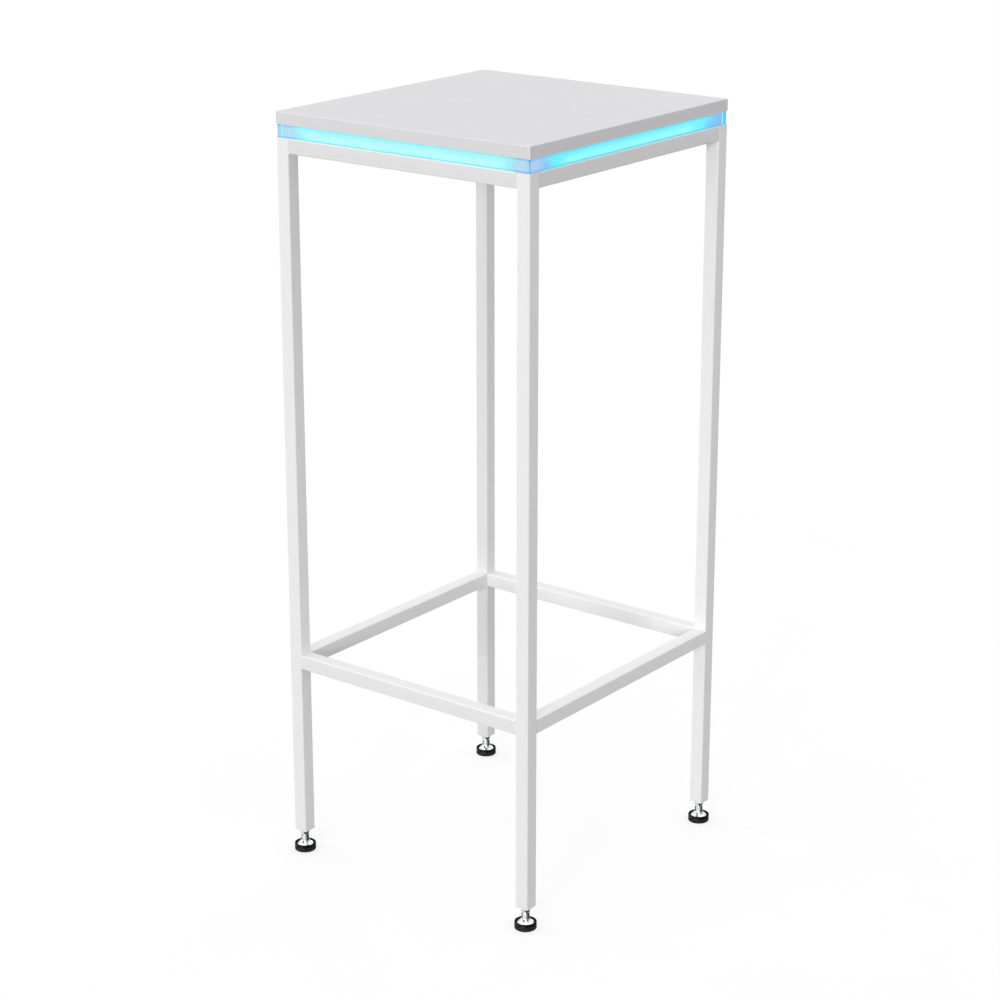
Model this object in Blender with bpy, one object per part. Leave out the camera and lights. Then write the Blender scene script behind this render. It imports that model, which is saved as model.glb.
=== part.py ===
"""Standing table: a square-tube frame with a footrest ring, a lit acrylic band and a board on top.

Units are metres, +Z is up and the origin is on the floor under the middle of the table.
The front faces -Y. Every piece is an object of its own, and touching pieces keep a small seat gap.
"""

import math

import bmesh
import bpy
from mathutils import Matrix

# Whole table
TOP_WIDTH = 0.450
TOP_DEPTH = 0.480
TABLE_HEIGHT = 1.150
SEAT = 0.0003
RUN = 0.0001

# Top board
BOARD_THICKNESS = 0.018
BOARD_EDGE = 0.0008

# Acrylic band between the board and the frame, with an opal sheet behind it
BAND_HEIGHT = 0.019
BAND_THICKNESS = 0.006
BAND_INSET = 0.0015
BAND_EDGE = 0.0004
DIFFUSER_THICKNESS = 0.001
DIFFUSER_EDGE = 0.0001

# Light carriers and strips behind the band
LIGHT_GAP = 0.006
CARRIER_WIDTH = 0.025
CARRIER_EDGE = 0.0005
STRIP_WIDTH = 0.010
STRIP_THICKNESS = 0.0012
STRIP_END_MARGIN = 0.045
CHIP_SIZE = 0.005
CHIP_HEIGHT = 0.0016
CHIP_PITCH = 0.0333

# Base panel that closes the light box from below
PANEL_THICKNESS = 0.003
PANEL_EDGE = 0.0005

# Tube of the frame
TUBE_SIZE = 0.022
TUBE_WALL = 0.0015
TUBE_RADIUS = 0.0018
FOOTREST_HEIGHT = 0.3275
LEG_CAP = 0.002

# Corner tabs and the screws that hold the top
TAB_LEG = 0.040
TAB_THICKNESS = 0.003
TAB_NOSE = 0.006
TAB_CORNER_RELIEF = 0.003
SCREW_INSET = 0.011
SCREW_SHANK_DIAMETER = 0.005
SCREW_HEAD_DIAMETER = 0.0095
SCREW_HEAD_HEIGHT = 0.0026
SCREW_GRIP = 0.012
SCREW_SOCKET_DIAMETER = 0.003
SCREW_SOCKET_DEPTH = 0.0015

# Levelling feet
STEM_DIAMETER = 0.008
STEM_LENGTH = 0.040
STEM_CHAMFER = 0.0008
NECK_DIAMETER = 0.012
FOOT_HEIGHT = 0.0217
FLARE_HEIGHT = 0.0075
FLARE_POWER = 1.7
DISC_DIAMETER = 0.0276
DISC_EDGE = 0.006
DISC_LEDGE = 0.0012
RETRACT_TRAVEL = 0.0025
NUT_HEIGHT = 0.0065
NUT_ACROSS_FLATS = 0.013
NUT_CHAMFER_ANGLE = math.radians(30.0)
INSERT_LENGTH = 0.020
INSERT_EDGE = 0.0005
PAD_FLOOR = 0.003
PAD_WALL = 0.00225
PAD_LIP = 0.0014
PAD_LIP_GRIP = 0.0006
PAD_SOLE_EDGE = 0.0012
PAD_RIM_EDGE = 0.0005
PAD_GROOVE_RADIUS = 0.007
PAD_GROOVE_WIDTH = 0.002
PAD_GROOVE_DEPTH = 0.0008

# Power pieces on the base panel
POWER_GAP = 0.016
POWER_SETBACK = 0.050
BATTERY_LENGTH = 0.120
BATTERY_WIDTH = 0.070
BATTERY_THICKNESS = 0.011
BATTERY_EDGE = 0.003
CONTROLLER_LENGTH = 0.060
CONTROLLER_WIDTH = 0.036
CONTROLLER_THICKNESS = 0.010
CONTROLLER_EDGE = 0.0015
EAR_LENGTH = 0.008
EAR_THICKNESS = 0.002
EAR_HOLE_DIAMETER = 0.0035
SWITCH_LENGTH = 0.0184
SWITCH_WIDTH = 0.0124
SWITCH_HEIGHT = 0.0115
SWITCH_WALL = 0.0014
SWITCH_BEZEL = 0.0014
SWITCH_BEZEL_THICKNESS = 0.0016
SWITCH_FLOOR = 0.003
ROCKER_TILT = math.radians(11.0)
ROCKER_CREST = 0.0016
ROCKER_BACK = 0.0016
ROCKER_PIN_DIAMETER = 0.002
SOCKET_DIAMETER = 0.008
SOCKET_FLANGE_DIAMETER = 0.0115
SOCKET_FLANGE_THICKNESS = 0.0016
SOCKET_HEIGHT = 0.010
SOCKET_BORE_DIAMETER = 0.006
SOCKET_FLOOR = 0.003
SOCKET_PIN_DIAMETER = 0.002

# Faces on round pieces
ROUND_SIDES = 26
SMALL_SIDES = 20
CORNER_STEPS = 3
FLARE_STEPS = 7
SMOOTH_ANGLE = math.radians(35.0)
MERGE_DISTANCE = 0.000001

# Heights that follow from the sizes above
FOOT_BOTTOM = PAD_FLOOR + SEAT
NECK_TOP = FOOT_BOTTOM + FOOT_HEIGHT
NUT_BOTTOM = NECK_TOP + RETRACT_TRAVEL
LEG_BOTTOM = NUT_BOTTOM + NUT_HEIGHT + SEAT
BOARD_BOTTOM = TABLE_HEIGHT - BOARD_THICKNESS
FRAME_TOP = BOARD_BOTTOM - BAND_HEIGHT
LEG_LENGTH = FRAME_TOP - LEG_BOTTOM
PANEL_BOTTOM = FRAME_TOP + SEAT
PANEL_TOP = PANEL_BOTTOM + PANEL_THICKNESS
CARRIER_HEIGHT = BOARD_BOTTOM - PANEL_TOP - 2 * SEAT
TAB_BOTTOM = FRAME_TOP - TAB_THICKNESS

# Half extents in plan, as (x, y)
OUTER = (TOP_WIDTH / 2, TOP_DEPTH / 2)
LEG_AXIS = tuple(half - TUBE_SIZE / 2 for half in OUTER)
OPENING = tuple(half - TUBE_SIZE for half in OUTER)
BAND_OUTER = tuple(half - BAND_INSET for half in OUTER)
BAND_INNER = tuple(half - BAND_THICKNESS for half in BAND_OUTER)
DIFFUSER_OUTER = tuple(half - SEAT for half in BAND_INNER)
DIFFUSER_INNER = tuple(half - DIFFUSER_THICKNESS for half in DIFFUSER_OUTER)
CARRIER_OUTER = tuple(half - LIGHT_GAP for half in DIFFUSER_INNER)
SCREW_AXIS = tuple(half - SCREW_INSET for half in OPENING)

CORNERS = {
    "front_left": (-1, -1),
    "front_right": (1, -1),
    "rear_right": (1, 1),
    "rear_left": (-1, 1),
}
# Each side: its turn about Z from the front, the half extent along it (0 is X, 1 is Y) and across it
SIDES = {
    "front": (0.0, 0, 1),
    "right": (math.pi / 2, 1, 0),
    "rear": (math.pi, 0, 1),
    "left": (-math.pi / 2, 1, 0),
}


def clear_scene():
    for obj in list(bpy.data.objects):
        bpy.data.objects.remove(obj, do_unlink=True)


def linear(channel):
    """A display colour channel, 0 to 255, as linear light."""
    share = channel / 255
    return share / 12.92 if share <= 0.04045 else ((share + 0.055) / 1.055) ** 2.4


def make_material(name, colour, roughness, metallic=0.0, glow=0.0):
    material = bpy.data.materials.new(name)
    material.use_nodes = True
    shader = material.node_tree.nodes["Principled BSDF"]
    rgba = (*(linear(channel) for channel in colour), 1.0)
    shader.inputs["Base Color"].default_value = rgba
    shader.inputs["Roughness"].default_value = roughness
    shader.inputs["Metallic"].default_value = metallic
    shader.inputs["Emission Color"].default_value = rgba
    shader.inputs["Emission Strength"].default_value = glow
    material.diffuse_color = rgba
    return material


def make_materials():
    return {
        "powder_coat": make_material("powder_coat", (238, 238, 239), 0.45),
        "board": make_material("board", (221, 221, 223), 0.35),
        "acrylic": make_material("acrylic", (150, 245, 252), 0.15, glow=0.8),
        "opal": make_material("opal", (190, 240, 250), 0.6, glow=0.8),
        "carrier": make_material("carrier", (230, 232, 234), 0.7),
        "strip": make_material("strip", (235, 240, 240), 0.5, glow=0.5),
        "panel": make_material("panel", (228, 228, 229), 0.5),
        "zinc": make_material("zinc", (190, 192, 196), 0.35, metallic=1.0),
        "chrome": make_material("chrome", (232, 234, 236), 0.08, metallic=1.0),
        "rubber": make_material("rubber", (22, 22, 24), 0.8),
        "black_plastic": make_material("black_plastic", (28, 28, 30), 0.4),
        "blue_wrap": make_material("blue_wrap", (52, 84, 132), 0.45),
    }


def finish(name, work, material, smooth=False):
    """Turns a bmesh into a named mesh with outward faces."""
    bmesh.ops.recalc_face_normals(work, faces=work.faces)
    mesh = bpy.data.meshes.new(name)
    work.to_mesh(mesh)
    work.free()
    mesh.materials.append(material)
    if smooth:
        mesh.shade_smooth()
        mesh.set_sharp_from_angle(angle=SMOOTH_ANGLE)
    return mesh


def place(name, mesh, parent, location=(0, 0, 0), turn=0.0, rotation=None):
    obj = bpy.data.objects.new(name, mesh)
    bpy.context.scene.collection.objects.link(obj)
    obj.parent = parent
    obj.location = location
    obj.rotation_euler = rotation or (0, 0, turn)
    return obj


def make_empty(name, parent=None, location=(0, 0, 0)):
    empty = bpy.data.objects.new(name, None)
    bpy.context.scene.collection.objects.link(empty)
    empty.parent = parent
    empty.location = location
    return empty


def prism(outline, low, high):
    """A bmesh with the (x, y) outline drawn up from low to high."""
    work = bmesh.new()
    base = work.faces.new([work.verts.new((x, y, low)) for x, y in outline])
    grown = bmesh.ops.extrude_face_region(work, geom=[base])
    moved = [item for item in grown["geom"] if isinstance(item, bmesh.types.BMVert)]
    bmesh.ops.translate(work, vec=(0, 0, high - low), verts=moved)
    return work


def soften(work, width, segments=2):
    """Rounds every sharp edge of a bmesh by a small width."""
    bmesh.ops.recalc_face_normals(work, faces=work.faces)
    sharp = [edge for edge in work.edges if edge.calc_face_angle() > SMOOTH_ANGLE]
    bmesh.ops.bevel(
        work,
        geom=sharp,
        offset=width,
        segments=segments,
        profile=0.5,
        affect="EDGES",
        clamp_overlap=True,
    )
    return work


def block(length, width, low, high):
    """A bmesh box centred in plan."""
    half_x, half_y = length / 2, width / 2
    outline = [(-half_x, -half_y), (half_x, -half_y), (half_x, half_y), (-half_x, half_y)]
    return prism(outline, low, high)


def rounded_square(size, radius):
    """The corner points of a square section with rounded corners, anticlockwise."""
    reach = size / 2 - radius
    points = []
    for quarter in range(4):
        centre_angle = math.pi / 4 + quarter * math.pi / 2
        centre_x = math.copysign(reach, math.cos(centre_angle))
        centre_y = math.copysign(reach, math.sin(centre_angle))
        for step in range(CORNER_STEPS + 1):
            angle = quarter * math.pi / 2 + step / CORNER_STEPS * math.pi / 2
            points.append((centre_x + radius * math.cos(angle), centre_y + radius * math.sin(angle)))
    return points


def turned(profile, sides):
    """A bmesh turned about Z from (radius, height) points that start and end on the axis."""
    work = bmesh.new()
    chain = [work.verts.new((radius, 0, height)) for radius, height in profile]
    edges = [work.edges.new(pair) for pair in zip(chain, chain[1:])]
    bmesh.ops.spin(
        work,
        geom=chain + edges,
        axis=(0, 0, 1),
        cent=(0, 0, 0),
        angle=2 * math.pi,
        steps=sides,
        use_merge=True,
    )
    bmesh.ops.remove_doubles(work, verts=work.verts, dist=MERGE_DISTANCE)
    return work


def rod(diameter, low, high, sides=SMALL_SIDES):
    """A bmesh cylinder on the Z axis."""
    radius = diameter / 2
    return turned([(0, low), (radius, low), (radius, high), (0, high)], sides)


def shifted(work, x=0.0, y=0.0, z=0.0):
    bmesh.ops.translate(work, vec=(x, y, z), verts=work.verts)
    return work


def carved(name, body, material, steps, smooth=False):
    """The mesh of a bmesh body after Boolean steps, each an (operation, bmesh) pair."""
    target = place(name + "_blank", finish(name + "_blank", body, material), None)
    helpers = []
    for index, (operation, tool) in enumerate(steps):
        helper = place(f"{name}_tool_{index}", finish(f"{name}_tool_{index}", tool, material), None)
        modifier = target.modifiers.new(f"step_{index}", "BOOLEAN")
        modifier.operation = operation
        modifier.solver = "EXACT"
        modifier.object = helper
        helpers.append(helper)
    bpy.context.view_layer.update()
    graph = bpy.context.evaluated_depsgraph_get()
    mesh = bpy.data.meshes.new_from_object(target.evaluated_get(graph))
    mesh.name = name
    for helper in [target, *helpers]:
        bpy.data.objects.remove(helper, do_unlink=True)
    mesh.materials.clear()
    mesh.materials.append(material)
    if smooth:
        mesh.shade_smooth()
        mesh.set_sharp_from_angle(angle=SMOOTH_ANGLE)
    return mesh


def tube(length, cap):
    """A bmesh of square tube up Z, open below; its top is closed by a cap of that thickness, or open at 0."""
    work = bmesh.new()
    bore = TUBE_SIZE - 2 * TUBE_WALL
    bore_radius = max(TUBE_RADIUS - TUBE_WALL, TUBE_WALL / 4)

    def ring(size, radius, height):
        return [work.verts.new((x, y, height)) for x, y in rounded_square(size, radius)]

    outer_low = ring(TUBE_SIZE, TUBE_RADIUS, 0)
    outer_high = ring(TUBE_SIZE, TUBE_RADIUS, length)
    inner_low = ring(bore, bore_radius, 0)
    inner_high = ring(bore, bore_radius, length - cap)
    rings = [inner_low, outer_low, outer_high, inner_high]
    if cap:
        walls = [(inner_low, outer_low), (outer_low, outer_high), (inner_low, inner_high)]
        work.faces.new(outer_high)
        work.faces.new(inner_high)
    else:
        walls = list(zip(rings, rings[1:] + rings[:1]))
    for first, second in walls:
        for index in range(len(first)):
            after = (index + 1) % len(first)
            work.faces.new((first[index], first[after], second[after], second[index]))
    return work


def build_frame(table, looks):
    """Legs, top rails and the footrest ring, welded flush from one tube size."""
    leg_mesh = finish("leg", tube(LEG_LENGTH, LEG_CAP), looks["powder_coat"], smooth=True)
    for corner, (side_x, side_y) in CORNERS.items():
        spot = (side_x * LEG_AXIS[0], side_y * LEG_AXIS[1], LEG_BOTTOM)
        place("leg_" + corner, leg_mesh, table, spot)
    levels = {"top_rail": FRAME_TOP - TUBE_SIZE / 2, "foot_rail": FOOTREST_HEIGHT - TUBE_SIZE / 2}
    for side, (turn, along, across) in SIDES.items():
        length = 2 * (OPENING[along] - SEAT)
        rail_mesh = finish("rail_" + side, tube(length, 0), looks["powder_coat"], smooth=True)
        lie_down = Matrix.Translation((-length / 2, 0, 0)) @ Matrix.Rotation(math.pi / 2, 4, "Y")
        rail_mesh.transform(lie_down)
        out_x, out_y = math.sin(turn), -math.cos(turn)
        for kind, height in levels.items():
            spot = (out_x * LEG_AXIS[across], out_y * LEG_AXIS[across], height)
            place(f"{kind}_{side}", rail_mesh, table, spot, turn)


def build_corner_tabs(table, looks):
    """Flat tabs in the corners of the top ring, which the top is screwed to."""
    outline = [
        (TAB_CORNER_RELIEF, SEAT),
        (TAB_LEG, SEAT),
        (TAB_LEG, TAB_NOSE),
        (TAB_NOSE, TAB_LEG),
        (SEAT, TAB_LEG),
        (SEAT, TAB_CORNER_RELIEF),
    ]
    drill = rod(SCREW_SHANK_DIAMETER + 2 * SEAT, -TAB_THICKNESS, 2 * TAB_THICKNESS)
    steps = [("DIFFERENCE", shifted(drill, SCREW_INSET, SCREW_INSET))]
    mesh = carved("corner_tab", prism(outline, 0, TAB_THICKNESS), looks["powder_coat"], steps)
    for quarter, (corner, (side_x, side_y)) in enumerate(CORNERS.items()):
        spot = (side_x * OPENING[0], side_y * OPENING[1], TAB_BOTTOM)
        place("corner_tab_" + corner, mesh, table, spot, quarter * math.pi / 2)


def screw_holes(diameter, low, high):
    """One drill bmesh for each top screw, in table coordinates."""
    for side_x, side_y in CORNERS.values():
        yield shifted(rod(diameter, low, high), side_x * SCREW_AXIS[0], side_y * SCREW_AXIS[1])


def build_top(table, looks):
    """The board, with blind holes for the screws in its underside."""
    body = soften(block(TOP_WIDTH, TOP_DEPTH, BOARD_BOTTOM, TABLE_HEIGHT), BOARD_EDGE)
    depth = SCREW_GRIP + SEAT
    drills = screw_holes(SCREW_SHANK_DIAMETER + 2 * SEAT, BOARD_BOTTOM - depth, BOARD_BOTTOM + depth)
    steps = [("DIFFERENCE", drill) for drill in drills]
    mesh = carved("tabletop", body, looks["board"], steps)
    place("tabletop", mesh, table)


def build_mitred_ring(kind, table, look, outer, inner, edge):
    """Four upright strips in a ring on the top rails, mitred at the corners."""
    low, high = FRAME_TOP + SEAT, BOARD_BOTTOM - SEAT
    mitre_gap = SEAT / math.sqrt(2)
    for side, (turn, along, across) in SIDES.items():
        thickness = outer[across] - inner[across]
        far, near = outer[along] - mitre_gap, inner[along] - mitre_gap
        outline = [(-far, -thickness), (far, -thickness), (near, 0), (-near, 0)]
        mesh = finish(f"{kind}_{side}", soften(prism(outline, low, high), edge, segments=1), look)
        out_x, out_y = math.sin(turn), -math.cos(turn)
        spot = (out_x * inner[across], out_y * inner[across], 0)
        place(f"{kind}_{side}", mesh, table, spot, turn)


def build_light_band(table, looks):
    """The clear acrylic band and the opal sheet that spreads the light behind it."""
    build_mitred_ring("light_band", table, looks["acrylic"], BAND_OUTER, BAND_INNER, BAND_EDGE)
    build_mitred_ring("diffuser", table, looks["opal"], DIFFUSER_OUTER, DIFFUSER_INNER, DIFFUSER_EDGE)


def build_light_carriers(table, looks):
    """Battens under the board that carry the light strips. Two run through and two fit between them."""
    low, high = PANEL_TOP + SEAT, PANEL_TOP + SEAT + CARRIER_HEIGHT
    for side, (turn, along, across) in SIDES.items():
        runs_through = along == 0
        shorter = 0 if runs_through else CARRIER_WIDTH + SEAT
        length = 2 * (CARRIER_OUTER[along] - shorter)
        out_x, out_y = math.sin(turn), -math.cos(turn)
        middle = CARRIER_OUTER[across] - CARRIER_WIDTH / 2
        body = soften(block(length, CARRIER_WIDTH, low, high), CARRIER_EDGE, segments=1)
        steps = []
        if runs_through:
            offset = SCREW_AXIS[1] - middle
            for end in (-1, 1):
                drill = rod(SCREW_SHANK_DIAMETER + 2 * SEAT, low - CARRIER_HEIGHT, high + CARRIER_HEIGHT)
                steps.append(("DIFFERENCE", shifted(drill, end * SCREW_AXIS[0], -offset)))
        mesh = carved("led_carrier_" + side, body, looks["carrier"], steps)
        place("led_carrier_" + side, mesh, table, (out_x * middle, out_y * middle, 0), turn)


def strip_body(length):
    """A bmesh of one light strip lying on Z, with a row of raised light chips facing up."""
    work = block(length, STRIP_WIDTH, 0, STRIP_THICKNESS)
    count = int((length - CHIP_SIZE) / CHIP_PITCH) + 1
    first = -(count - 1) / 2 * CHIP_PITCH
    centres = [first + index * CHIP_PITCH for index in range(count)]
    cuts = [(centre + end * CHIP_SIZE / 2, "x") for centre in centres for end in (-1, 1)]
    cuts += [(end * CHIP_SIZE / 2, "y") for end in (-1, 1)]
    for offset, axis in cuts:
        point, normal = ((offset, 0, 0), (1, 0, 0)) if axis == "x" else ((0, offset, 0), (0, 1, 0))
        geometry = [*work.verts, *work.edges, *work.faces]
        bmesh.ops.bisect_plane(work, geom=geometry, plane_co=point, plane_no=normal)
    bmesh.ops.recalc_face_normals(work, faces=work.faces)

    def is_chip(face):
        middle = face.calc_center_median()
        near = min(abs(middle.x - centre) for centre in centres)
        faces_up = face.normal.z > abs(face.normal.x) + abs(face.normal.y)
        return faces_up and near < CHIP_SIZE / 2 and abs(middle.y) < CHIP_SIZE / 2

    chips = [face for face in work.faces if is_chip(face)]
    raised = bmesh.ops.extrude_discrete_faces(work, faces=chips)
    verts = {vert for face in raised["faces"] for vert in face.verts}
    bmesh.ops.translate(work, vec=(0, 0, CHIP_HEIGHT), verts=list(verts))
    return work


def build_light_strips(table, looks):
    """Light strips on the outer faces of the carriers, stopping short of the corners."""
    height = PANEL_TOP + SEAT + CARRIER_HEIGHT / 2
    for side, (turn, along, across) in SIDES.items():
        length = 2 * (OUTER[along] - STRIP_END_MARGIN)
        mesh = finish("led_strip_" + side, strip_body(length), looks["strip"])
        mesh.transform(Matrix.Rotation(math.pi / 2, 4, "X"))
        out_x, out_y = math.sin(turn), -math.cos(turn)
        reach = CARRIER_OUTER[across] + SEAT
        place("led_strip_" + side, mesh, table, (out_x * reach, out_y * reach, height), turn)


def power_spots():
    """Where the power pieces sit on the panel, in plan: two rows of two, each row centred."""
    controller = CONTROLLER_LENGTH + 2 * EAR_LENGTH
    half_row = (BATTERY_LENGTH + POWER_GAP + controller) / 2
    deeper = max(BATTERY_WIDTH, CONTROLLER_WIDTH)
    row = CARRIER_OUTER[1] - CARRIER_WIDTH - POWER_SETBACK - deeper / 2
    bezel_length, bezel_width = (size + 2 * SWITCH_BEZEL for size in (SWITCH_LENGTH, SWITCH_WIDTH))
    next_row = row - deeper / 2 - POWER_GAP - max(bezel_width, SOCKET_FLANGE_DIAMETER) / 2
    return {
        "battery": (BATTERY_LENGTH / 2 - half_row, row),
        "controller": (half_row - controller / 2, row),
        "switch": ((POWER_GAP + bezel_length) / 2, next_row),
        "socket": (-(POWER_GAP + SOCKET_FLANGE_DIAMETER) / 2, next_row),
    }


def build_base_panel(table, looks):
    """The panel lies on the inner half of the top rails and on the tabs."""
    spots = power_spots()
    length, width = (2 * (half - SEAT) for half in DIFFUSER_INNER)
    body = soften(block(length, width, PANEL_BOTTOM, PANEL_TOP), PANEL_EDGE, segments=1)
    low, high = PANEL_BOTTOM - PANEL_THICKNESS, PANEL_TOP + PANEL_THICKNESS
    drills = list(screw_holes(SCREW_SHANK_DIAMETER + 2 * SEAT, low, high))
    window = block(SWITCH_LENGTH + 2 * SEAT, SWITCH_WIDTH + 2 * SEAT, low, high)
    drills.append(shifted(window, *spots["switch"]))
    drills.append(shifted(rod(SOCKET_DIAMETER + 2 * SEAT, low, high), *spots["socket"]))
    steps = [("DIFFERENCE", drill) for drill in drills]
    mesh = carved("base_panel", body, looks["panel"], steps)
    place("base_panel", mesh, table)


def build_power(table, looks):
    """Battery, light controller and charge socket on the panel."""
    spots = power_spots()
    floor = PANEL_TOP + SEAT
    battery = soften(block(BATTERY_LENGTH, BATTERY_WIDTH, 0, BATTERY_THICKNESS), BATTERY_EDGE)
    mesh = finish("battery_pack", battery, looks["blue_wrap"])
    place("battery_pack", mesh, table, (*spots["battery"], floor))

    case = soften(block(CONTROLLER_LENGTH, CONTROLLER_WIDTH, 0, CONTROLLER_THICKNESS), CONTROLLER_EDGE)
    ears = block(CONTROLLER_LENGTH + 2 * EAR_LENGTH, CONTROLLER_WIDTH / 2, 0, EAR_THICKNESS)
    steps = [("UNION", ears)]
    for end in (-1, 1):
        drill = rod(EAR_HOLE_DIAMETER, -EAR_THICKNESS, 2 * EAR_THICKNESS)
        steps.append(("DIFFERENCE", shifted(drill, end * (CONTROLLER_LENGTH + EAR_LENGTH) / 2)))
    mesh = carved("led_controller", case, looks["black_plastic"], steps)
    place("led_controller", mesh, table, (*spots["controller"], floor))

    body, flange, bore = SOCKET_DIAMETER / 2, SOCKET_FLANGE_DIAMETER / 2, SOCKET_BORE_DIAMETER / 2
    pin, mouth = SOCKET_PIN_DIAMETER / 2, -SEAT - SOCKET_FLANGE_THICKNESS
    profile = [
        (0, SOCKET_HEIGHT),
        (body, SOCKET_HEIGHT),
        (body, -SEAT),
        (flange, -SEAT),
        (flange, mouth),
        (bore, mouth),
        (bore, SOCKET_HEIGHT - SOCKET_FLOOR),
        (pin, SOCKET_HEIGHT - SOCKET_FLOOR),
        (pin, 0),
        (0, 0),
    ]
    mesh = finish("charge_socket", turned(profile, SMALL_SIDES), looks["black_plastic"], smooth=True)
    place("charge_socket", mesh, table, (*spots["socket"], PANEL_BOTTOM))


def build_switch(table, looks):
    """A rocker switch clipped into the panel from below, with its rocker on side pins."""
    x, y = power_spots()["switch"]
    face = -SEAT - SWITCH_BEZEL_THICKNESS
    cavity_length, cavity_width = (size - 2 * SWITCH_WALL for size in (SWITCH_LENGTH, SWITCH_WIDTH))
    body = block(SWITCH_LENGTH, SWITCH_WIDTH, face + SWITCH_BEZEL_THICKNESS / 2, SWITCH_HEIGHT)
    bezel_length, bezel_width = (size + 2 * SWITCH_BEZEL for size in (SWITCH_LENGTH, SWITCH_WIDTH))
    bezel = soften(block(bezel_length, bezel_width, face, -SEAT), SEAT, segments=1)
    cavity = block(cavity_length, cavity_width, face - SWITCH_WALL, SWITCH_HEIGHT - SWITCH_FLOOR)
    on_its_side = Matrix.Rotation(math.pi / 2, 4, "X")
    pin_hole = rod(ROCKER_PIN_DIAMETER + 2 * RUN, -SWITCH_WIDTH, SWITCH_WIDTH)
    bmesh.ops.transform(pin_hole, matrix=on_its_side, verts=pin_hole.verts)
    steps = [("UNION", bezel), ("DIFFERENCE", cavity), ("DIFFERENCE", pin_hole)]
    mesh = carved("power_switch", body, looks["black_plastic"], steps)
    place("power_switch", mesh, table, (x, y, PANEL_BOTTOM))

    reach = cavity_length / 2 - SEAT
    half_width = cavity_width / 2 - SEAT
    crest_drop = ROCKER_CREST + reach * math.sin(ROCKER_TILT)
    end_angle = math.asin(crest_drop / reach)
    back_angle = math.asin(ROCKER_BACK / reach)
    outline = [(0, ROCKER_CREST)]
    for end in (-1, 1):
        arc = []
        for step in range(CORNER_STEPS + 1):
            angle = end_angle - step / CORNER_STEPS * (end_angle + back_angle)
            arc.append((end * reach * math.cos(angle), reach * math.sin(angle)))
        outline += arc if end < 0 else arc[::-1]
    rocker = prism(outline, -half_width, half_width)
    bmesh.ops.transform(rocker, matrix=on_its_side, verts=rocker.verts)
    bmesh.ops.scale(rocker, vec=(1, 1, -1), verts=rocker.verts)
    pin = rod(ROCKER_PIN_DIAMETER, -SWITCH_WIDTH / 2 + SEAT, SWITCH_WIDTH / 2 - SEAT)
    bmesh.ops.transform(pin, matrix=on_its_side, verts=pin.verts)
    mesh = carved("switch_rocker", rocker, looks["black_plastic"], [("UNION", pin)])
    rest = (0, ROCKER_TILT, 0)
    place("switch_rocker", mesh, table, (x, y, PANEL_BOTTOM), rotation=rest)


def build_screws(table, looks):
    """Button-head screws up through the tabs, the panel and the carriers into the board."""
    head, shank = SCREW_HEAD_DIAMETER / 2, SCREW_SHANK_DIAMETER / 2
    tip = BOARD_BOTTOM + SCREW_GRIP - TAB_BOTTOM
    profile = []
    for step in range(CORNER_STEPS + 1):
        angle = step / CORNER_STEPS * math.pi / 2
        profile.append((head * math.sin(angle), -SEAT - SCREW_HEAD_HEIGHT * math.cos(angle)))
    profile += [(shank, -SEAT), (shank, tip - shank), (0, tip)]
    socket_top = SCREW_SOCKET_DEPTH - SEAT - SCREW_HEAD_HEIGHT
    socket = rod(SCREW_SOCKET_DIAMETER, -2 * SCREW_HEAD_HEIGHT, socket_top, sides=6)
    steps = [("DIFFERENCE", socket)]
    mesh = carved("top_screw", turned(profile, SMALL_SIDES), looks["zinc"], steps, smooth=True)
    for corner, (side_x, side_y) in CORNERS.items():
        spot = (side_x * SCREW_AXIS[0], side_y * SCREW_AXIS[1], TAB_BOTTOM)
        place("top_screw_" + corner, mesh, table, spot)


def insert_mesh(looks):
    """A plug for the leg's end with a threaded bore, flush with the leg."""
    side = TUBE_SIZE - 2 * TUBE_WALL - 2 * SEAT
    body = soften(block(side, side, 0, INSERT_LENGTH), INSERT_EDGE, segments=1)
    bore = rod(STEM_DIAMETER + 2 * RUN, -INSERT_LENGTH, 2 * INSERT_LENGTH, sides=ROUND_SIDES)
    return carved("leg_insert", body, looks["powder_coat"], [("DIFFERENCE", bore)])


def nut_mesh(looks):
    """A thin hexagon nut with both faces chamfered."""
    corner = NUT_ACROSS_FLATS / math.sqrt(3)
    flat = NUT_ACROSS_FLATS / 2
    angles = [index * math.pi / 3 for index in range(6)]
    body = prism([(corner * math.cos(angle), corner * math.sin(angle)) for angle in angles], 0, NUT_HEIGHT)
    swell = 2 * (corner - flat)
    rise = swell * math.tan(NUT_CHAMFER_ANGLE)
    lower = [(0, 0), (flat, 0), (flat + swell, rise)]
    upper = [(radius, NUT_HEIGHT - height) for radius, height in reversed(lower)]
    rounding = turned(lower + upper, ROUND_SIDES)
    bore = rod(STEM_DIAMETER + 2 * RUN, -NUT_HEIGHT, 2 * NUT_HEIGHT, sides=ROUND_SIDES)
    steps = [("INTERSECT", rounding), ("DIFFERENCE", bore)]
    return carved("lock_nut", body, looks["chrome"], steps, smooth=True)


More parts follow.
